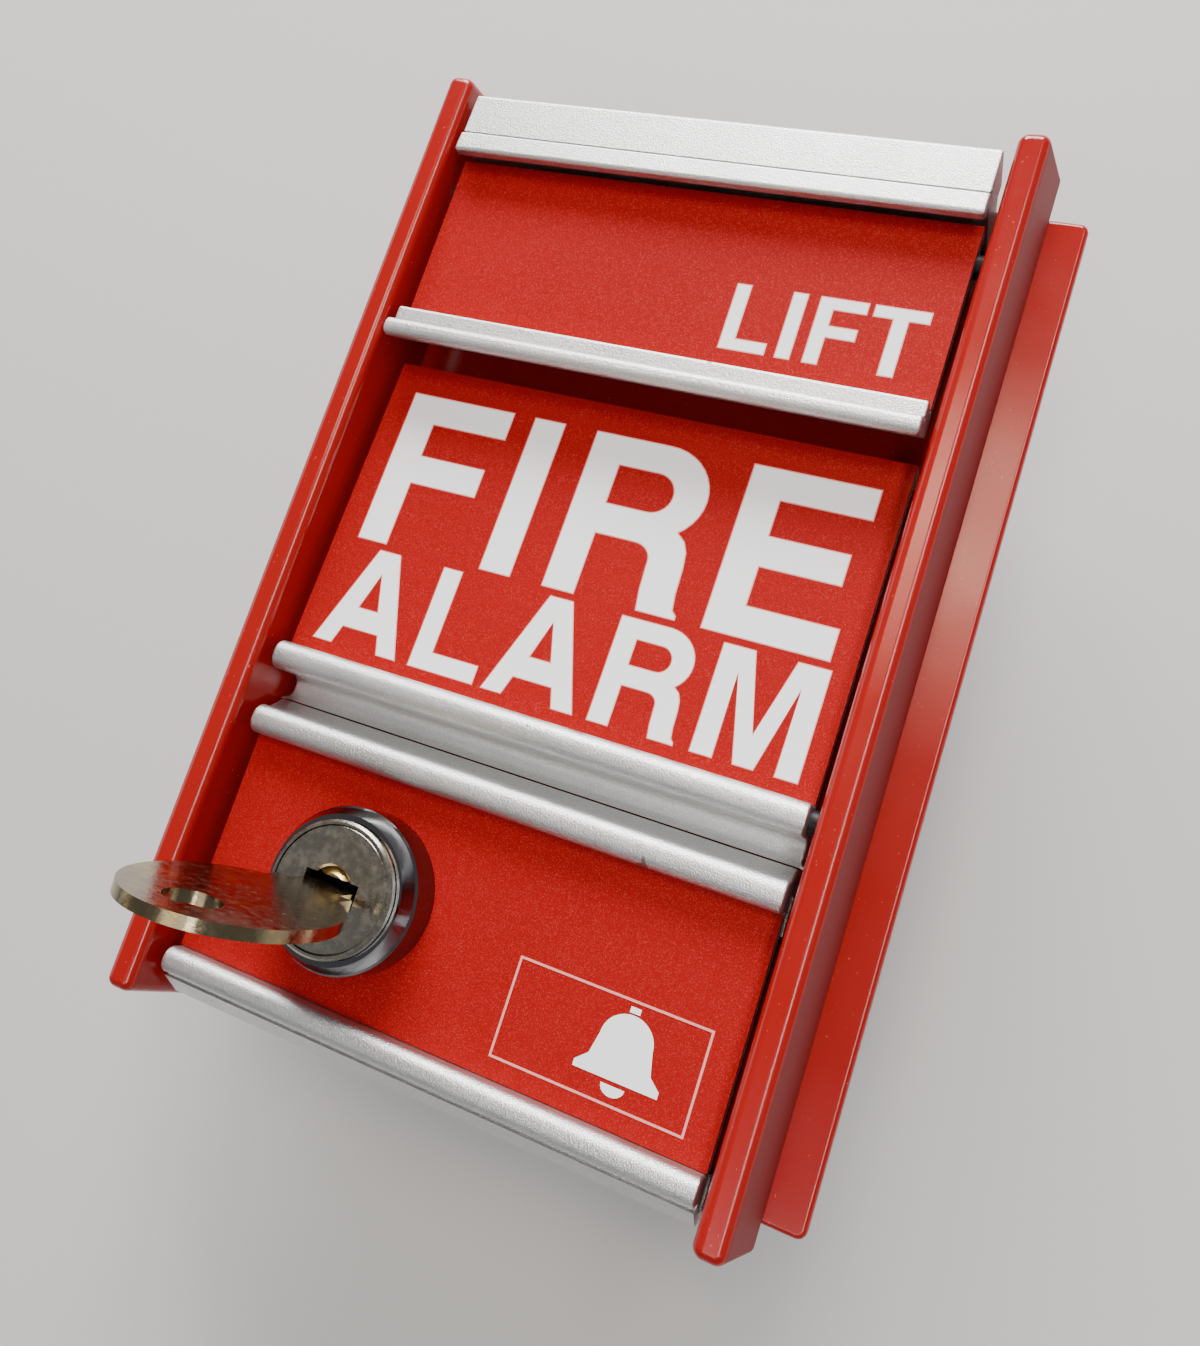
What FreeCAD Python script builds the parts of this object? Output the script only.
"""Manual call point: lift-flap, pull-lever fire alarm station for a wall box.

Frame: millimetres, X to the right, Z up, Y into the wall. The origin is the middle of the
base plate's back face, which lies on the wall. Depths in the sheet are distances in front
of the wall, so a depth of 16 is the plane Y = -16.
"""
import FreeCAD, Part
import os
import re
import Sketcher

SIZES = {
    # base plate and side rails
    "base_half_width": 48.5, "base_half_height": 64.7, "base_thickness": 2.5,
    "base_corner": 1.2, "base_edge": 0.7,
    "rail_front": 16.0, "rail_back": 2.8, "rail_inner": 38.2, "rail_outer": 42.0,
    "rail_draft": 1.4, "rail_top": 67.4, "rail_bottom": 66.9, "rail_edge": 1.3,
    "top_rake_inner": 1.7, "top_rake_outer": 4.6,
    "bottom_rake_inner": 0.8, "bottom_rake_outer": 1.6,
    # bars, labels and straps
    "bar_half": 36.95, "label_thickness": 0.5, "web_thickness": 1.6,
    "strap_front": 4.2, "strap_back": 3.0, "strap_half": 41.0, "strap_play": 0.2,
    "top_strap_low": 57.9, "top_strap_high": 63.6,
    "middle_strap_low": -34.0, "middle_strap_high": -27.0,
    "bottom_strap_low": -65.6, "bottom_strap_high": -61.0,
    # cover hinge
    "hinge_depth": 5.0, "hinge_height": 68.2, "hinge_rod_radius": 1.25, "hinge_play": 0.05,
    "knuckle_radius": 2.2, "knuckle_inner": 27.0, "knuckle_outer": 35.0,
    "ear_inner": 25.2, "ear_outer": 26.6, "rod_half": 35.4,
    # cap, flap and its pin
    "cap_top": 65.3, "cap_step": 58.8, "cap_bottom": 55.8,
    "cap_front": 15.3, "cap_lip_front": 16.1,
    "flap_label_depth": 12.2, "flap_axis_depth": 9.4, "flap_axis_height": 52.4,
    "flap_barrel": 2.2, "flap_pin_radius": 1.5, "flap_top": 56.4, "lip_top": 31.5,
    "lip_groove": 29.3, "lip_bottom": 26.5, "lip_band_depth": 15.1, "lip_nose_depth": 17.0,
    # lever with its bead and cove, the lower bar and the foot bar
    "lever_depth_top": 8.7, "lever_depth_low": 10.8, "lever_top": 25.6,
    "lever_hook": 5.2, "lever_axis_depth": 10.8, "lever_axis_height": -19.85,
    "lever_pin_radius": 1.5, "lever_pin_inner": 28.0, "pin_end": 40.6,
    "bead_top": -17.9, "bead_bottom": -21.8, "bead_nose": 14.2, "bead_round": 1.8,
    "cove_floor": 6.3, "cove_bend": -24.2, "cove_bottom": -25.2, "cove_round": 1.45,
    "cove_lip": 7.5, "cove_back": 4.9, "crest_height": -25.42, "crest_front": 8.2,
    "crest_back": 5.6, "low_bead_top": -26.9, "bar_edge": 0.35,
    "low_bead_bottom": -30.8, "low_bead_nose": 13.6, "low_label_depth": 10.2,
    "foot_bar_top": -60.2, "foot_bead_bottom": -63.6, "foot_nose": 13.2,
    "foot_bottom": -66.5, "foot_leg_front": 11.2, "foot_leg_back": 7.4,
    # lock, key, cam and keeper
    "lock_across": -14.6, "lock_height": -45.4, "lock_body": 7.0, "lock_rim": 8.4,
    "lock_face": 7.75, "lock_face_depth": 18.5, "lock_face_back": 17.0,
    "bezel_radius": 10.3, "bezel_front": 17.3, "core_window": 2.8,
    "plug_radius": 5.0, "plug_play": 0.05, "core_depth": 18.3, "plug_back": 6.2,
    "tail_radius": 2.2, "tail_end": 3.4, "keyway_half": 3.75, "keyway_height": 3.1,
    "key_thickness": 1.4, "key_blade_half": 3.5, "key_bow_along": 14.2,
    "key_bow_across": 10.9, "key_bow_reach": 18.6, "key_hole": 3.1,
    "key_hole_reach": 26.0, "key_droop": 5.0, "key_end": 7.4,
    "cam_reach": 13.4, "cam_half": 3.2, "cam_thickness": 1.2, "keeper_half": 5.5,
    # wall box slots, switch and terminal block
    "box_screw_height": 41.65, "box_slot_half": 2.2, "box_slot_reach": 4.0,
    "plunger_radius": 1.6, "plunger_height": -5.0, "plunger_tip": 8.0,
    "switch_half": 13.9, "switch_front": 1.5, "switch_back": 17.4, "switch_thick": 10.3,
    "bracket_thickness": 1.2, "block_half": 20.0, "block_low": 8.0, "block_high": 22.0,
    "block_depth": 11.0,
    # through: how far a cutting tool runs past its piece; then screws, rivets and bolts
    "through": 1.0, "fixing_radius": 1.5, "plunger_play": 0.4,
    "pan_head": 2.3, "pan_height": 1.2, "bracket_screw_end": 2.4, "block_screw_end": 5.0,
    "rivet_head": 2.4, "rivet_top": 1.9, "rivet_height": 0.7,
    "keeper_sheet": 1.2, "keeper_low": -60.3, "keeper_high": -50.5, "keeper_hook_high": -55.2,
    "keeper_reach": 7.7, "keeper_hook": 1.1, "tab_rise": 1.2,
    "bracket_half": 15.0, "bracket_drop": 9.5, "bracket_reach": 15.0,
    "bolt_across": 11.1, "bolt_depth": 11.5, "bolt_head": 2.7, "bolt_head_height": 1.9,
    "bolt_nut": 2.9, "bolt_nut_height": 2.0, "guide_length": 7.0, "plunger_inside": 2.0,
    # switch blades, wire clamps and the earth screw
    "blade_half": 0.4, "blade_reach": 6.3, "blade_rise": 3.2, "blade_pitch": 10.0,
    "wire_pitch": 8.0, "wire_slot_half": 3.0, "wire_slot_depth": 6.0, "clamp_half": 2.9,
    "clamp_floor": 4.2, "clamp_margin": 2.0, "clamp_head": 2.6, "clamp_length": 3.0,
    "clamp_head_height": 2.2, "washer_radius": 3.6, "washer_thickness": 0.8,
    "earth_head": 2.7, "earth_end": 3.0,
    # strap screws, pins and hinge ears
    "rail_screw_across": 39.6, "rail_screw_radius": 1.0, "rail_screw_head": 1.3,
    "rail_screw_length": 5.0, "bar_screw_across": 18.0, "bar_screw_radius": 1.25,
    "bar_screw_head": 2.1, "bar_screw_length": 2.8, "pin_end_play": 0.4,
    "ear_reach": 1.4, "ear_lap": 0.3, "ear_ease": 0.2,
    # small steps, laps and rounds of the bars; sliver is the least step between two faces
    "cap_lean": 0.2, "cap_gap": 0.3, "cap_end": 0.5, "cap_lip": 1.5, "cap_back": 8.2,
    "cap_round": 0.7, "cap_lip_round": 0.5, "cap_step_round": 0.3, "bar_ease": 0.6,
    "crest_foot": 10.6, "crest_round": 1.6, "web_lap": 2.2, "sliver": 0.1,
    "foot_groove": 0.8, "foot_groove_height": 0.5, "foot_back": 8.1, "foot_round": 1.55,
    "foot_corner": 0.5, "foot_wall": 1.6, "foot_ease": 0.4, "foot_end": 1.7,
    "lip_groove_depth": 0.5, "lip_groove_height": 0.35, "lip_floor": 1.2, "lip_rise": 2.1,
    "lip_round": 1.05, "lip_corner": 0.5, "hook_thickness": 1.6, "bead_wall": 1.5,
    "cove_rise": 0.8,
    # small steps of the lock and the key
    "bezel_ledge": 1.1, "bezel_side": 2.1, "bezel_bevel": 0.25, "bezel_bevel_height": 0.35,
    "bezel_lip": 0.75, "lock_play": 0.1, "lock_ease": 0.3, "nut_front": 8.1,
    "nut_thickness": 1.3, "nut_extra": 2.0, "plug_gap": 0.4, "face_ease": 0.2,
    "window_ease": 0.25, "core_dish": 0.7, "core_rim": 0.8, "cam_tail": 3.6,
    "cam_nut_radius": 3.7,
    "key_shoulder_half": 5.2, "key_shoulder_front": 7.4, "key_shoulder_back": 3.2,
    "key_blade_start": 8.0, "key_tip_gap": 0.6, "key_drop": 0.15, "bitting_start": 1.2,
    "bitting_pitch": 2.2, "bitting_width": 1.2,
}
BITTING_DEPTHS = (1.4, 0.7, 1.8, 1.1)
WIRES = 4
AXIS_TURNS = {"x": ((0, 1, 0), 90), "y": ((1, 0, 0), -90), "z": ((0, 0, 1), 0)}
TOLERANCE = 1e-4

doc = FreeCAD.newDocument("call_point")
sheet = doc.addObject("Spreadsheet::Sheet", "sizes")
for row, (alias, size) in enumerate(SIZES.items(), start=1):
    sheet.set("A%d" % row, alias.replace("_", " "))
    sheet.set("B%d" % row, str(size))
    sheet.setAlias("B%d" % row, alias)
doc.recompute()
nodes = []


# ---------------------------------------------------------------- small helpers
def bound(text):
    """The expression with each word turned into its cell of the sheet."""
    return re.sub(r"[a-z_]{2,}", lambda word: "sizes." + word.group(), str(text))


def value(text):
    return float(sheet.evalExpression(bound(text)))


def bind(item, **properties):
    for name, text in properties.items():
        item.setExpression(name.replace("__", "."), bound(text))
    return item


def move_to(item, place):
    for axis, text in zip("xyz", place):
        item.setExpression("Placement.Base." + axis, bound(text))
    return item


def node(item, label):
    """Names a finished sub-part; its label is the name of its file."""
    item.Label = label
    nodes.append(item)
    return item


def box(name, low, high):
    item = doc.addObject("Part::Box", name)
    length, width, height = ("(%s) - (%s)" % (b, a) for a, b in zip(low, high))
    bind(item, Length=length, Width=width, Height=height)
    return move_to(item, low)


def rod(name, along, start, radius, length):
    item = doc.addObject("Part::Cylinder", name)
    bind(item, Radius=radius, Height=length)
    direction, degrees = AXIS_TURNS[along]
    item.Placement.Rotation = FreeCAD.Rotation(FreeCAD.Vector(*direction), degrees)
    return move_to(item, start)


def prism(name, start, radius, length):
    """A hexagonal nut blank along +Y."""
    item = doc.addObject("Part::Prism", name)
    item.Polygon = 6
    bind(item, Circumradius=radius, Height=length)
    direction, degrees = AXIS_TURNS["y"]
    item.Placement.Rotation = FreeCAD.Rotation(FreeCAD.Vector(*direction), degrees)
    return move_to(item, start)


def oval(name, along, half_along, half_across, thickness):
    """A flat oval plate in the XY plane, longer along Y, as thick above as below."""
    outline = doc.addObject("Part::Ellipse", name + "_outline")
    bind(outline, MajorRadius=half_along, MinorRadius=half_across)
    outline.Placement.Rotation = FreeCAD.Rotation(FreeCAD.Vector(0, 0, 1), 90)
    move_to(outline, ("0", along, "0"))
    plate = doc.addObject("Part::Extrusion", name)
    plate.Base = outline
    plate.DirMode = "Custom"
    plate.Dir = FreeCAD.Vector(0, 0, 1)
    plate.Solid = True
    plate.Symmetric = True
    return bind(plate, LengthFwd=thickness)


def fuse(name, *shapes):
    item = doc.addObject("Part::MultiFuse", name)
    item.Shapes = list(shapes)
    item.Refine = True
    return item


def group(name, shapes):
    item = doc.addObject("Part::Compound", name)
    item.Links = list(shapes)
    return item


def cut(name, base, *tools):
    item = doc.addObject("Part::Cut", name)
    item.Base = base
    item.Tool = tools[0] if len(tools) == 1 else fuse(name + "_tools", *tools)
    item.Refine = True
    return item


# ---------------------------------------------------------------- PartDesign helpers
def new_body(name):
    return doc.addObject("PartDesign::Body", name)


def new_sketch(body, role, name, offset="0"):
    """A sketch on an origin plane, moved along the plane's normal by offset."""
    sketch = body.newObject("Sketcher::SketchObject", name)
    plane = next(f for f in body.Origin.OriginFeatures if f.Role == role)
    sketch.AttachmentSupport = [(plane, "")]
    sketch.MapMode = "FlatFace"
    sketch.setExpression("AttachmentOffset.Base.z", bound(offset))
    return sketch


def draw_polygon(sketch, corners):
    """A closed outline. Each corner is two expressions, bound to the sheet."""
    first = sketch.GeometryCount
    points = [FreeCAD.Vector(value(u), value(v), 0) for u, v in corners]
    count = len(points)
    for i in range(count):
        sketch.addGeometry(Part.LineSegment(points[i], points[(i + 1) % count]), False)
    for i in range(count):
        follower = first + (i + 1) % count
        sketch.addConstraint(Sketcher.Constraint("Coincident", first + i, 2, follower, 1))
    for i, corner in enumerate(corners):
        for kind, text, size in zip(("DistanceX", "DistanceY"), corner, points[i]):
            index = sketch.addConstraint(Sketcher.Constraint(kind, -1, 1, first + i, 1, size))
            name = "corner%d_%s" % (first + i, kind[-1])
            sketch.renameConstraint(index, name)
            sketch.setExpression("Constraints." + name, bound(text))


def pad_both_ways(body, sketch, length, name):
    pad = body.newObject("PartDesign::Pad", name)
    pad.Profile = (sketch, [""])
    pad.SideType = "Symmetric"
    return bind(pad, Length=length)


def round_edges(body, feature, keep, radius, name):
    """Fillets the feature's edges that keep(edge) picks."""
    doc.recompute()
    picked = ["Edge%d" % (i + 1) for i, e in enumerate(feature.Shape.Edges) if keep(e)]
    fillet = body.newObject("PartDesign::Fillet", name)
    fillet.Base = (feature, picked)
    return bind(fillet, Radius=radius)


def on_corner(depth, height):
    """Picks the straight edge along X through one corner of a profile."""
    y, z = value("-(%s)" % depth), value(height)

    def picks(edge):
        return all(abs(v.Y - y) < TOLERANCE and abs(v.Z - z) < TOLERANCE
                   for v in edge.Vertexes)
    return picks


def on_end(low, high, behind):
    """Picks the edges of a bar's ends between two heights and in front of a depth."""
    half, bottom, top, limit = (value(t) for t in ("bar_half", low, high, "-(%s)" % behind))

    def picks(edge):
        across = [v.X for v in edge.Vertexes]
        return (max(across) - min(across) < TOLERANCE and abs(abs(across[0]) - half) < TOLERANCE
                and all(v.Y < limit and bottom < v.Z < top for v in edge.Vertexes))
    return picks


def bar(name, corners, rounds, soft_ends=()):
    """An extruded section along X. corners are (depth, height); rounds are
    (depth, height, radius) for each corner that is rounded; soft_ends are the (low, high,
    behind) of each stretch of the front whose end edges are eased by bar_edge."""
    body = new_body(name)
    sketch = new_sketch(body, "YZ_Plane", name + "_section")
    draw_polygon(sketch, [("-(%s)" % depth, height) for depth, height in corners])
    feature = pad_both_ways(body, sketch, "2 * bar_half", name + "_pad")
    for i, (depth, height, radius) in enumerate(rounds):
        feature = round_edges(body, feature, on_corner(depth, height), radius,
                              "%s_round%d" % (name, i))
    for i, stretch in enumerate(soft_ends):
        feature = round_edges(body, feature, on_end(*stretch), "bar_edge",
                              "%s_soft%d" % (name, i))
    body.Tip = feature
    return body


def turned(name, corners, across, height):
    """A turned piece about an axis along Y. corners are (radius, depth)."""
    body = new_body(name)
    sketch = new_sketch(body, "XY_Plane", name + "_section")
    draw_polygon(sketch, [(radius, "-(%s)" % depth) for radius, depth in corners])
    turn = body.newObject("PartDesign::Revolution", name + "_turn")
    turn.Profile = (sketch, [""])
    turn.ReferenceAxis = (sketch, ["V_Axis"])
    turn.Angle = 360
    body.Tip = turn
    return move_to(body, (across, "0", height))


def flat_screw(name, across, height):
    """A countersunk screw from the back of a strap towards the front; its sizes in the
    sheet start with its name."""
    shank, head = name + "_radius", name + "_head"
    end = "strap_back + %s_length" % name
    profile = [("0", "strap_back"), (head, "strap_back"),
               (shank, "strap_back + %s - %s" % (head, shank)), (shank, end), ("0", end)]
    return turned(name, profile, across, height)


def clamp_screw(across, height):
    """A pan-head screw in the terminal block: head at the back, shank to the front."""
    seat = "clamp_floor - block_depth"
    back = seat + " - clamp_head_height"
    profile = [("0", back), ("0.7 * clamp_head", back),
               ("clamp_head", seat + " - 0.55 * clamp_head_height"), ("clamp_head", seat),
               ("fixing_radius", seat), ("fixing_radius", seat + " + clamp_length"),
               ("0", seat + " + clamp_length")]
    return turned("clamp_screw", profile, across, height)


def plate_screw(name, across, height, end):
    """A screw with its head on the base plate's front and its shank through to the back."""
    top = "base_thickness + pan_height"
    profile = [("0", top), ("pan_head", top), ("pan_head", "base_thickness"),
               ("fixing_radius", "base_thickness"), ("fixing_radius", "-" + end), ("0", "-" + end)]
    return turned(name, profile, across, height)


# ---------------------------------------------------------------- base, fixed to the wall
def base_plate():
    """Flange plate with two slots for the wall box's screws."""
    body = new_body("plate_blank")
    sketch = new_sketch(body, "XZ_Plane", "plate_outline")
    w, t = "base_half_width", "base_half_height"
    draw_polygon(sketch, [("-" + w, "-" + t), (w, "-" + t), (w, t), ("-" + w, t)])
    pad = body.newObject("PartDesign::Pad", "plate_pad")
    pad.Profile = (sketch, [""])
    bind(pad, Length="base_thickness")
    corners = round_edges(body, pad, lambda e: abs(e.Vertexes[0].Y - e.Vertexes[-1].Y) > TOLERANCE,
                          "base_corner", "plate_corners")
    front = value("-base_thickness")
    edges = round_edges(body, corners,
                        lambda e: all(abs(v.Y - front) < TOLERANCE for v in e.Vertexes),
                        "base_edge", "plate_front_edge")
    body.Tip = edges
    tools = [rod("plunger_hole_tool", "y", ("0", "-base_thickness - through", "plunger_height"),
                 "plunger_radius + plunger_play", "base_thickness + 2 * through")]
    for side in (-1, 1):
        middle = "%d * box_screw_height" % side
        tools.append(box("slot_tool", ("-box_slot_half", "-base_thickness - through",
                                       middle + " - box_slot_reach + box_slot_half"),
                         ("box_slot_half", "through",
                          middle + " + box_slot_reach - box_slot_half")))
        for end in (-1, 1):
            tools.append(rod("slot_end_tool", "y",
                             ("0", "-base_thickness - through",
                              "%s + %d * (box_slot_reach - box_slot_half)" % (middle, end)),
                             "box_slot_half", "base_thickness + 2 * through"))
    for across, height in BLOCK_SCREWS + BRACKET_SCREWS + KEEPER_RIVETS + GROUND_SCREW:
        tools.append(rod("fixing_tool", "y", (across, "-base_thickness - through", height),
                         "fixing_radius", "base_thickness + 2 * through"))
    node(cut("plate_drilled", body, *tools), "base_plate")


def hinge_knuckles():
    """Two knuckles welded to the plate's top edge; the cover's rod turns in them."""
    knuckles = []
    for side in (-1, 1):
        inner = "knuckle_inner" if side > 0 else "-knuckle_outer"
        outer = "knuckle_outer" if side > 0 else "-knuckle_inner"
        tab = box("tab", (inner, "-hinge_depth", "base_half_height"),
                  (outer, "0", "hinge_height + tab_rise"))
        barrel = rod("barrel", "x", (inner, "-hinge_depth", "hinge_height"),
                     "knuckle_radius", "knuckle_outer - knuckle_inner")
        bore = rod("bore", "x", ("(%s) - through" % inner, "-hinge_depth", "hinge_height"),
                   "hinge_rod_radius + hinge_play",
                   "knuckle_outer - knuckle_inner + 2 * through")
        knuckles.append(cut("knuckle", fuse("knuckle_solid", tab, barrel), bore))
    node(group("knuckle_pair", knuckles), "hinge_knuckles")


def keeper():
    """Hook on the base plate that the lock's cam swings behind."""
    left, right = "lock_across - keeper_half", "lock_across + keeper_half"
    seat = "base_thickness + keeper_sheet"
    foot = box("keeper_foot", (left, "-(%s)" % seat, "keeper_low"),
               (right, "-base_thickness", "keeper_high"))
    riser = box("keeper_riser", (left, "-keeper_reach", "keeper_low"),
                (right, "-base_thickness", "keeper_low + keeper_sheet"))
    hook = box("keeper_hook_plate", (left, "-keeper_reach", "keeper_low"),
               (right, "keeper_hook - keeper_reach", "keeper_hook_high"))
    whole = fuse("keeper_solid", foot, riser, hook)
    holes = [rod("rivet_hole", "y", (across, "-(%s) - through" % seat, height),
                 "fixing_radius", "keeper_sheet + 2 * through")
             for across, height in KEEPER_RIVETS]
    node(cut("keeper_drilled", whole, *holes), "lock_keeper")
    profile = [("0", "0"), ("fixing_radius", "0"), ("fixing_radius", seat),
               ("rivet_head", seat), ("rivet_top", seat + " + rivet_height"),
               ("0", seat + " + rivet_height")]
    pins = [turned("keeper_rivet", profile, across, height)
            for across, height in KEEPER_RIVETS]
    node(group("keeper_rivet_set", pins), "keeper_rivets")


def switch_set():
    """Bracket, snap switch, its terminals and screws, behind the base plate."""
    low = "plunger_height - switch_thick / 2"
    high = "plunger_height + switch_thick / 2"
    screws = [plate_screw("bracket_screw", across, height, "bracket_screw_end")
              for across, height in BRACKET_SCREWS]
    node(group("bracket_screw_set", screws), "bracket_screws")
    foot = box("bracket_foot", ("-bracket_half", "0", "%s - bracket_drop" % low),
               ("bracket_half", "bracket_thickness", low))
    shelf = box("bracket_shelf", ("-bracket_half", "0", "%s - bracket_thickness" % low),
                ("bracket_half", "bracket_reach", low))
    bolts = []
    bolt_holes = []
    under = "%s - bracket_thickness" % low
    for across in ("-bolt_across", "bolt_across"):
        bolt_holes.append(rod("bolt_hole", "z", (across, "bolt_depth", under + " - through"),
                              "fixing_radius",
                              "switch_thick + bracket_thickness + 2 * through"))
        shank = rod("bolt_shank", "z", (across, "bolt_depth", under),
                    "fixing_radius", "switch_thick + bracket_thickness")
        head = rod("bolt_top", "z", (across, "bolt_depth", high), "bolt_head",
                   "bolt_head_height")
        nut = rod("bolt_foot", "z", (across, "bolt_depth", under + " - bolt_nut_height"),
                  "bolt_nut", "bolt_nut_height")
        bolts.append(fuse("bolt", shank, head, nut))
    bracket_holes = [rod("bracket_hole", "y", (across, "-through", height), "fixing_radius",
                         "bracket_thickness + 2 * through")
                     for across, height in BRACKET_SCREWS]
    node(cut("bracket_drilled", fuse("bracket_solid", foot, shelf),
             *bracket_holes, *bolt_holes), "switch_bracket")
    node(group("bolt_set", bolts), "switch_bolts")
    body = box("switch_block", ("-switch_half", "switch_front", low),
               ("switch_half", "switch_back", high))
    guide = rod("switch_guide", "y", ("0", "switch_front - through", "plunger_height"),
                "plunger_radius + plug_play", "guide_length")
    node(cut("switch_drilled", body, guide, *bolt_holes), "switch_body")
    blades = [box("blade", (across + " - blade_half", "switch_back",
                            "plunger_height - blade_rise"),
                  (across + " + blade_half", "switch_back + blade_reach",
                   "plunger_height + blade_rise"))
              for across in ("-blade_pitch", "0", "blade_pitch")]
    node(group("blade_set", blades), "switch_terminals")
    node(rod("plunger_rod", "y", ("0", "-plunger_tip", "plunger_height"),
             "plunger_radius", "plunger_tip + switch_front + plunger_inside"),
         "switch_plunger")


def terminal_set():
    """Terminal block and its screws, behind the base plate."""
    body = box("block_body", ("-block_half", "0", "block_low"),
               ("block_half", "block_depth", "block_high"))
    middle = "(block_low + block_high) / 2"
    floor = "block_depth - wire_slot_depth"
    slots = []
    plates = []
    clamp_screws = []
    for i in range(WIRES):
        across = "%g * wire_pitch" % (i - (WIRES - 1) / 2)
        slots.append(box("wire_slot", (across + " - wire_slot_half", floor,
                                       "block_low - through"),
                         (across + " + wire_slot_half", "block_depth + through",
                          "block_high + through")))
        plates.append(box("clamp_plate", (across + " - clamp_half", floor,
                                          "block_low + clamp_margin"),
                          (across + " + clamp_half", "block_depth - clamp_floor",
                           "block_high - clamp_margin")))
        clamp_screws.append(clamp_screw(across, middle))
    mounts = [plate_screw("block_screw", across, height, "block_screw_end")
              for across, height in BLOCK_SCREWS]
    clamp_screw_set = group("clamp_screw_set", clamp_screws)
    mount_set = group("block_screw_set", mounts)
    node(cut("block_cut", cut("block_slotted", body, *slots), clamp_screw_set, mount_set),
         "terminal_block")
    node(cut("clamp_plates_cut", group("clamp_plate_set", plates), clamp_screw_set),
         "terminal_plates")
    node(clamp_screw_set, "terminal_screws")
    node(mount_set, "block_screws")


def earth_screw():
    """Green screw and washer for the earth wire, behind the base plate."""
    profile = [("0", "base_thickness"), ("fixing_radius", "base_thickness"),
               ("fixing_radius", "0"), ("washer_radius", "0"),
               ("washer_radius", "-washer_thickness"),
               ("earth_head", "-washer_thickness"), ("earth_head", "-earth_end"),
               ("0", "-earth_end")]
    screws = [turned("earth_screw_body", profile, across, height)
              for across, height in GROUND_SCREW]
    node(group("earth_screw_set", screws), "earth_screw")


# ---------------------------------------------------------------- cover assembly
def rail(side):
    """Side rail, ruled from its outline at the back to a smaller one at the front."""
    name = "right_rail" if side > 0 else "left_rail"
    sign = "" if side > 0 else "-1 * "
    body = new_body(name + "_blank")
    outlines = []
    for where, depth in (("back", "rail_back"), ("front", "rail_front")):
        grow = "0" if where == "front" else "1"
        sketch = new_sketch(body, "XZ_Plane", "%s_%s" % (name, where), depth)
        corners = [("rail_inner", "-rail_bottom - %s * bottom_rake_inner"),
                   ("rail_outer + %s * rail_draft", "-rail_bottom - %s * bottom_rake_outer"),
                   ("rail_outer + %s * rail_draft", "rail_top + %s * top_rake_outer"),
                   ("rail_inner", "rail_top + %s * top_rake_inner")]
        draw_polygon(sketch, [("%s(%s)" % (sign, u.replace("%s", grow)),
                               v.replace("%s", grow)) for u, v in corners])
        outlines.append(sketch)
    loft = body.newObject("PartDesign::AdditiveLoft", name + "_loft")
    loft.Profile = (outlines[0], [""])
    loft.Sections = [(outlines[1], [""])]
    loft.Ruled = True
    back = value("-rail_back")
    body.Tip = round_edges(body, loft,
                           lambda e: any(abs(v.Y - back) > TOLERANCE for v in e.Vertexes),
                           "rail_edge", name + "_edges")
    inside = "rail_inner - through"
    near, far = (inside, "strap_half") if side > 0 else ("-strap_half", "-(%s)" % inside)
    tools = []
    for low, high in STRAPS.values():
        tools.append(box("strap_pocket", (near, "-strap_front", "(%s) - strap_play" % low),
                         (far, "0", "(%s) + strap_play" % high)))
    pin_start = inside if side > 0 else "-pin_end - pin_end_play"
    tools.append(rod("lever_pin_hole", "x",
                     (pin_start, "-lever_axis_depth", "lever_axis_height"),
                     "lever_pin_radius + hinge_play",
                     "pin_end + pin_end_play - (%s)" % inside))
    flap_start = inside if side > 0 else "-pin_end"
    tools.append(rod("flap_pin_hole", "x",
                     (flap_start, "-flap_axis_depth", "flap_axis_height"),
                     "flap_pin_radius", "pin_end - (%s)" % inside))
    tools += [rod("rail_screw_hole", "y", (sign + "rail_screw_across",
                                           "-strap_back - rail_screw_length",
                                           "((%s) + (%s)) / 2" % (low, high)),
                  "rail_screw_radius", "rail_screw_length")
              for low, high in STRAPS.values()]
    node(cut(name + "_drilled", body, *tools), name)


def straps():
    """Steel cross straps behind the rails; the top one carries the hinge ears."""
    rail_screws = []
    bar_screws = []
    for low, high in STRAPS.values():
        middle = "((%s) + (%s)) / 2" % (low, high)
        for sign in ("", "-1 * "):
            for name, screws in (("rail_screw", rail_screws), ("bar_screw", bar_screws)):
                screws.append(flat_screw(name, sign + name + "_across", middle))
    rail_set = group("rail_screw_set", rail_screws)
    bar_set = group("bar_screw_set", bar_screws)
    for name, (low, high) in STRAPS.items():
        solid = box(name + "_blank", ("-strap_half", "-strap_front", low),
                    ("strap_half", "-strap_back", high))
        if name == "top_strap":
            solid = fuse("top_strap_solid", solid, *hinge_ears(low))
        node(cut(name + "_drilled", solid, rail_set, bar_set), name)
    node(rail_set, "rail_screws")
    node(bar_set, "bar_screws")
    node(rod("hinge_rod_body", "x", ("-rod_half", "-hinge_depth", "hinge_height"),
             "hinge_rod_radius", "2 * rod_half"), "hinge_rod")
    return bar_set


def hinge_ears(low):
    ears = []
    for side in (-1, 1):
        inner = "ear_inner" if side > 0 else "-ear_outer"
        outer = "ear_outer" if side > 0 else "-ear_inner"
        neck = box("ear_neck", (inner, "-hinge_depth - ear_reach", "top_strap_high - ear_lap"),
                   (outer, "-strap_back", "hinge_height"))
        eye = rod("ear_eye", "x", (inner, "-hinge_depth", "hinge_height"),
                  "knuckle_radius - ear_ease", "ear_outer - ear_inner")
        hole = rod("ear_hole", "x", ("(%s) - through" % inner, "-hinge_depth", "hinge_height"),
                   "hinge_rod_radius", "ear_outer - ear_inner + 2 * through")
        ears.append(cut("ear", fuse("ear_solid", neck, eye), hole))
    return ears


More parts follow.
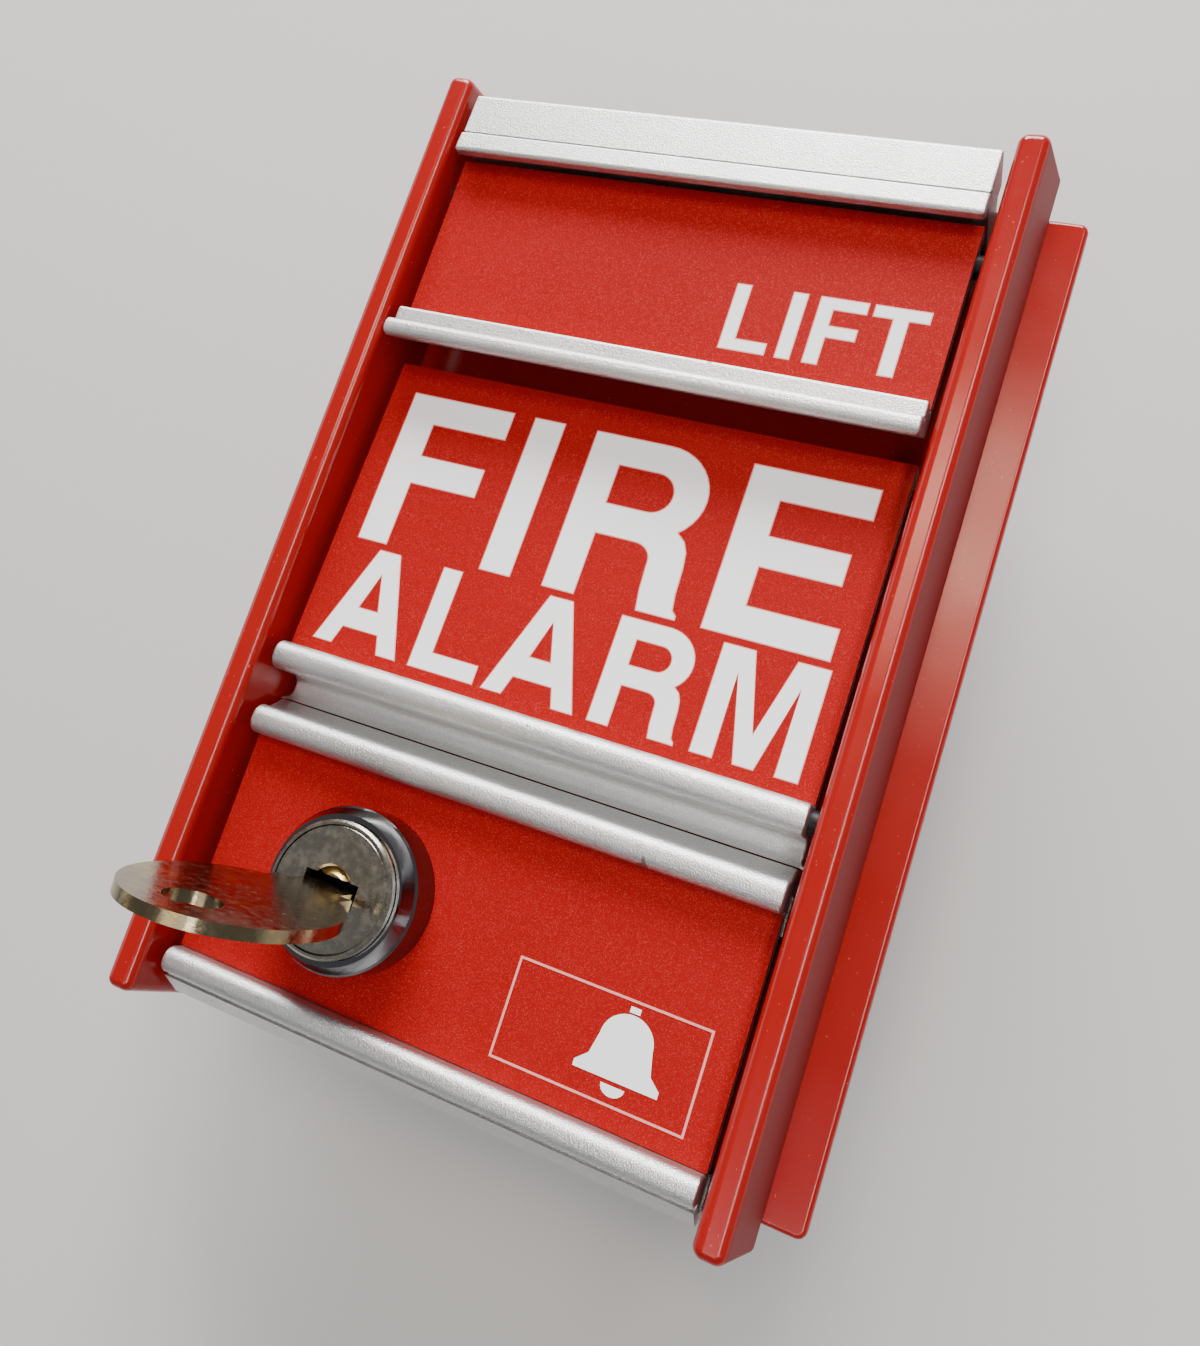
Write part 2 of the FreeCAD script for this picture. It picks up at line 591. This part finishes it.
def cap_bar(screws):
    """Top bar: front band, a small step, an overhanging lip, and a solid back."""
    step_top = "cap_step + cap_gap"
    step_low = "cap_step - sliver"
    groove = "cap_front - cap_lean"
    corners = [("cap_front", "cap_top"), ("cap_front + cap_lean", step_top),
               (groove, step_top), (groove, step_low), ("cap_lip_front - cap_lean", step_low),
               ("cap_lip_front", "cap_bottom"), ("cap_lip_front - cap_lip", "cap_bottom"),
               ("cap_lip_front - cap_lip - cap_lean", "top_strap_low"),
               ("strap_front", "top_strap_low"), ("strap_front", "top_strap_high - bar_ease"),
               ("cap_back", "top_strap_high - bar_ease"), ("cap_back", "cap_top")]
    rounds = [("cap_front", "cap_top", "cap_round"),
              ("cap_lip_front", "cap_bottom", "cap_lip_round"),
              ("cap_lip_front - cap_lean", step_low, "cap_step_round")]
    soft = [("cap_step - cap_end", "cap_top + through", "cap_front - cap_lean - sliver")]
    node(cut("cap_drilled", bar("cap_blank", corners, rounds, soft), screws), "cap_bar")


def lower_bar(screws):
    """Fixed bar below the lever: crest, rounded bead, label web and a foot."""
    web = "low_label_depth - label_thickness"
    back = web + " - web_thickness"
    foot = "strap_front + web_thickness"
    web_low = "foot_bar_top + sliver"
    knee = "low_bead_bottom + web_lap"
    heel = "middle_strap_low + bar_ease"
    corners = [("crest_front", "crest_height"), ("crest_foot", "low_bead_top"),
               ("low_bead_nose", "low_bead_top"), ("low_bead_nose", "low_bead_bottom"),
               (web, "low_bead_bottom"), (web, web_low), (back, web_low), (back, knee),
               (foot, knee), (foot, heel), ("strap_front", heel),
               ("strap_front", "middle_strap_high"), ("crest_back", "middle_strap_high"),
               ("crest_back", "crest_height")]
    rounds = [("low_bead_nose", "low_bead_top", "bead_round"),
              ("low_bead_nose", "low_bead_bottom", "bead_round"),
              ("crest_foot", "low_bead_top", "crest_round")]
    soft = [("low_bead_bottom - through", "crest_height + through", "crest_front - sliver")]
    body = bar("lower_blank", corners, rounds, soft)
    start = ("lock_across", "-low_label_depth - through", "lock_height")
    hole = rod("lock_hole", "y", start, "lock_body + lock_play", "web_thickness + 3 * through")
    node(cut("lower_drilled", body, hole, screws), "lower_bar")
    label = box("lower_label_blank", ("-bar_half", "-low_label_depth", web_low),
                ("bar_half", "-(%s)" % web, "low_bead_bottom"))
    label_hole = rod("lower_label_hole", "y", start, "lock_body + lock_play",
                     "label_thickness + 2 * through")
    node(cut("lower_label_cut", label, label_hole), "lower_label")


def foot_bar(screws):
    """Bottom bar: rounded bead, a groove and a lower leg, with a foot on its strap."""
    foot = "strap_front + web_thickness"
    groove = "foot_leg_front - foot_groove"
    heel = "bottom_strap_high - foot_ease"
    floor = "foot_bottom + foot_wall"
    corners = [("foot_nose", "foot_bar_top"), ("foot_nose", "foot_bead_bottom"),
               (groove, "foot_bead_bottom"), (groove, "foot_bead_bottom - foot_groove_height"),
               ("foot_leg_front", "foot_bead_bottom - foot_groove_height - sliver"),
               ("foot_leg_back", "foot_bottom"), ("strap_front", "foot_bottom"),
               ("strap_front", heel), (foot, heel), (foot, floor), ("foot_back", floor),
               ("foot_back", "foot_bar_top")]
    rounds = [("foot_nose", "foot_bar_top", "foot_round"),
              ("foot_nose", "foot_bead_bottom", "foot_round"),
              ("foot_leg_back", "foot_bottom", "foot_corner")]
    soft = [("foot_bead_bottom - through", "foot_bar_top + through", "foot_nose - foot_end")]
    node(cut("foot_drilled", bar("foot_blank", corners, rounds, soft), screws), "foot_bar")


# ---------------------------------------------------------------- flap and lever
def flap():
    """Lift flap: hinge barrel at the top, label web, finger lip with a bead."""
    web = "flap_label_depth - label_thickness"
    back = web + " - web_thickness"
    groove = "lip_band_depth - lip_groove_depth"
    bead_top = "lip_groove - lip_groove_height"
    corners = [(web, "flap_top"), (web, "lip_top"), ("lip_band_depth", "lip_top"),
               ("lip_band_depth", "lip_groove"), (groove, "lip_groove"), (groove, bead_top),
               ("lip_nose_depth", bead_top), ("lip_nose_depth", "lip_bottom"),
               ("lip_nose_depth - lip_floor", "lip_bottom"), (back, "lip_bottom + lip_rise"),
               (back, "flap_top")]
    rounds = [("lip_band_depth", "lip_top", "lip_corner"),
              ("lip_nose_depth", bead_top, "lip_round"),
              ("lip_nose_depth", "lip_bottom", "lip_round")]
    soft = [("lip_bottom - through", "lip_top + through", "lip_band_depth - bar_ease")]
    web_bar = bar("flap_web", corners, rounds, soft)
    barrel = rod("flap_barrel_rod", "x",
                 ("-bar_half", "-flap_axis_depth", "flap_axis_height"),
                 "flap_barrel", "2 * bar_half")
    bore = rod("flap_bore", "x", ("-bar_half - through", "-flap_axis_depth",
                                 "flap_axis_height"),
               "flap_pin_radius + hinge_play", "2 * bar_half + 2 * through")
    node(cut("flap_bored", fuse("flap_solid", web_bar, barrel), bore), "flap_bar")
    node(box("flap_label_plate", ("-bar_half", "-flap_label_depth", "lip_top"),
             ("bar_half", "-(%s)" % web, "flap_top")), "flap_label")
    node(rod("flap_pin_rod", "x", ("-pin_end", "-flap_axis_depth", "flap_axis_height"),
             "flap_pin_radius", "2 * pin_end"), "flap_pin")


def lever():
    """Pull lever: grip edge at the top, label web, bead and cove at the bottom."""
    top_web = "lever_depth_top - label_thickness"
    low_web = "lever_depth_low - label_thickness"
    corners = [(top_web, "lever_top"), (low_web, "bead_top"), ("bead_nose", "bead_top"),
               ("bead_nose", "bead_bottom"), ("cove_floor", "bead_bottom"),
               ("cove_floor", "cove_bend"), ("cove_lip", "cove_bottom"),
               ("cove_floor", "cove_bottom"), ("cove_back", "cove_bottom + cove_rise"),
               ("cove_back", "bead_bottom + bead_wall"),
               (low_web + " - web_thickness", "bead_bottom + bead_wall"),
               (low_web + " - web_thickness", "bead_top"),
               (top_web + " - web_thickness", "lever_top - hook_thickness"),
               ("lever_hook", "lever_top - hook_thickness"), ("lever_hook", "lever_top")]
    rounds = [("bead_nose", "bead_top", "bead_round"),
              ("bead_nose", "bead_bottom", "bead_round"),
              ("cove_floor", "bead_bottom", "cove_round"),
              ("cove_floor", "cove_bend", "cove_round")]
    tools = []
    pins = []
    for side in (-1, 1):
        start = "lever_pin_inner" if side > 0 else "-pin_end"
        place = (start, "-lever_axis_depth", "lever_axis_height")
        pins.append(rod("lever_pin", "x", place, "lever_pin_radius",
                        "pin_end - lever_pin_inner"))
        tools.append(rod("lever_pin_seat", "x", place, "lever_pin_radius",
                         "pin_end - lever_pin_inner"))
    soft = [("cove_bottom - through", "bead_top + sliver", "cove_floor - sliver")]
    blank = bar("lever_blank", corners, rounds, soft)
    node(cut("lever_drilled", blank, *tools), "lever_bar")
    node(group("lever_pin_set", pins), "lever_pins")
    label = [("lever_depth_top", "lever_top"), ("lever_depth_low", "bead_top"),
             (low_web, "bead_top"), (top_web, "lever_top")]
    node(bar("lever_label_plate", label, []), "lever_label")


# ---------------------------------------------------------------- cam lock and key
def cam_lock():
    """Bezel, barrel and nut stay in the lower bar; face, plug, cam and its nut turn."""
    centre = ("lock_across", "lock_height")
    ledge = "bezel_front - bezel_ledge"
    bore = "lock_body + lock_play"
    mouth = "lock_rim + lock_play"
    side = "bezel_front - bezel_side"
    bezel = [("bezel_radius", "low_label_depth"), ("bezel_radius", side),
             ("bezel_radius - bezel_bevel", side + " + bezel_bevel_height"),
             ("lock_rim + bezel_lip", "bezel_front"), (mouth, "bezel_front"), (mouth, ledge),
             (bore, ledge), (bore, "low_label_depth")]
    node(turned("bezel_body", bezel, *centre), "lock_bezel")
    seat = "lock_face_back - lock_play"
    back = "plug_back + plug_gap"
    barrel = [("lock_face + plug_play", "lock_face_depth"),
              ("lock_rim - lock_ease", "lock_face_depth"),
              ("lock_rim", "lock_face_depth - lock_ease"), ("lock_rim", ledge),
              ("lock_body", ledge), ("lock_body", back), ("plug_radius + plug_play", back),
              ("plug_radius + plug_play", seat), ("lock_face + plug_play", seat)]
    node(turned("barrel_body", barrel, *centre), "lock_barrel")
    nut = prism("nut_blank", ("lock_across", "-nut_front", "lock_height"),
                "lock_body + nut_extra", "nut_thickness")
    nut_bore = rod("nut_bore", "y", ("lock_across", "-nut_front - through", "lock_height"),
                   "lock_body", "nut_thickness + 2 * through")
    node(cut("nut_bored", nut, nut_bore), "lock_nut")
    keyway = box("keyway", ("lock_across - keyway_half", "-lock_face_depth - through",
                            "lock_height - keyway_height / 2"),
                 ("lock_across + keyway_half", "-key_end", "lock_height + keyway_height / 2"))
    face = [("core_window", "lock_face_back"), ("core_window", "lock_face_depth - window_ease"),
            ("core_window + window_ease", "lock_face_depth"),
            ("lock_face - face_ease", "lock_face_depth"),
            ("lock_face", "lock_face_depth - face_ease"), ("lock_face", "lock_face_back")]
    node(cut("face_slotted", turned("face_body", face, *centre), keyway), "lock_face")
    core = "core_window - lock_play"
    plug = [("0", "core_depth"), (core + " - core_rim", "core_depth"),
            (core, "core_depth - core_dish"), (core, "lock_face_back"),
            ("plug_radius", "lock_face_back"), ("plug_radius", "plug_back"),
            ("tail_radius", "plug_back"), ("tail_radius", "tail_end"), ("0", "tail_end")]
    node(cut("plug_slotted", turned("plug_body", plug, *centre), keyway), "lock_plug")


def lock_cam():
    """Cam on the plug's tail, and the nut that holds it there."""
    reach = "lock_across + cam_reach - cam_half"
    blade = box("cam_bar", ("lock_across - cam_tail", "-plug_back", "lock_height - cam_half"),
                (reach, "cam_thickness - plug_back", "lock_height + cam_half"))
    tip = rod("cam_tip", "y", (reach, "-plug_back", "lock_height"), "cam_half",
              "cam_thickness")
    start = ("lock_across", "-plug_back - through", "lock_height")
    eye = rod("cam_eye", "y", start, "tail_radius", "cam_thickness + 2 * through")
    node(cut("cam_pierced", fuse("cam_solid", blade, tip), eye), "lock_cam")
    nut = prism("cam_nut_blank", ("lock_across", "cam_thickness - plug_back", "lock_height"),
                "cam_nut_radius", "nut_thickness")
    nut_bore = rod("cam_nut_bore", "y", start, "tail_radius",
                   "cam_thickness + nut_thickness + 2 * through")
    node(cut("cam_nut_bored", nut, nut_bore), "cam_nut")


def key():
    """Flat key with an oval bow. Its own frame starts on the lock's face, along -Y, and
    the whole key droops from there by as much as its keyway lets it."""
    half = "key_thickness / 2"
    bow = oval("key_bow", "-key_bow_reach", "key_bow_along", "key_bow_across",
               "key_thickness")
    shoulder = box("key_shoulder", ("-key_shoulder_half", "-key_shoulder_front", "-" + half),
                   ("key_shoulder_half", "-key_shoulder_back", half))
    blade = box("key_blade", ("-key_blade_half", "-key_blade_start", "-" + half),
                ("key_blade_half", "lock_face_depth - key_end - key_tip_gap", half))
    cuts = [rod("ring_hole", "z", ("0", "-key_hole_reach", "-key_thickness"), "key_hole",
                "2 * key_thickness")]
    for i, depth in enumerate(BITTING_DEPTHS):
        low = "bitting_start + %d * bitting_pitch" % i
        cuts.append(box("bitting", ("key_blade_half - %g" % depth, low, "-key_thickness"),
                        ("key_blade_half + through", low + " + bitting_width",
                         "key_thickness")))
    item = cut("key_cut", fuse("key_solid", bow, shoulder, blade), *cuts)
    item.Placement.Rotation = FreeCAD.Rotation(FreeCAD.Vector(1, 0, 0), value("key_droop"))
    node(move_to(item, ("lock_across", "-lock_face_depth", "lock_height - key_drop")), "key")


# ---------------------------------------------------------------- build and write
STRAPS = {
    "top_strap": ("top_strap_low", "top_strap_high"),
    "middle_strap": ("middle_strap_low", "middle_strap_high"),
    "bottom_strap": ("bottom_strap_low", "bottom_strap_high"),
}
BLOCK_SCREWS = [("-17.8", "15"), ("17.8", "15")]
BRACKET_SCREWS = [("-10", "-15.5"), ("10", "-15.5")]
KEEPER_RIVETS = [("lock_across - 2.8", "-53.2"), ("lock_across + 2.8", "-53.2")]
GROUND_SCREW = [("-13", "-27")]

base_plate()
hinge_knuckles()
keeper()
switch_set()
terminal_set()
earth_screw()
for rail_side in (-1, 1):
    rail(rail_side)
strap_screws = straps()
cap_bar(strap_screws)
lower_bar(strap_screws)
foot_bar(strap_screws)
flap()
lever()
cam_lock()
lock_cam()
key()
doc.recompute()

for item in doc.Objects:
    if "Invalid" in item.State or "Error" in item.State:
        raise RuntimeError("%s (%s): %s" % (item.Name, item.Label, item.State))
for item in nodes:
    if item.Shape.isNull() or not item.Shape.isValid() or not item.Shape.Solids:
        raise RuntimeError("%s has no valid solid" % item.Label)

os.makedirs("parts", exist_ok=True)
for item in nodes:
    item.Shape.exportStep("parts/%s.step" % item.Label)
    print("%-18s solids %d  volume %.1f mm3" % (item.Label, len(item.Shape.Solids),
                                               item.Shape.Volume))
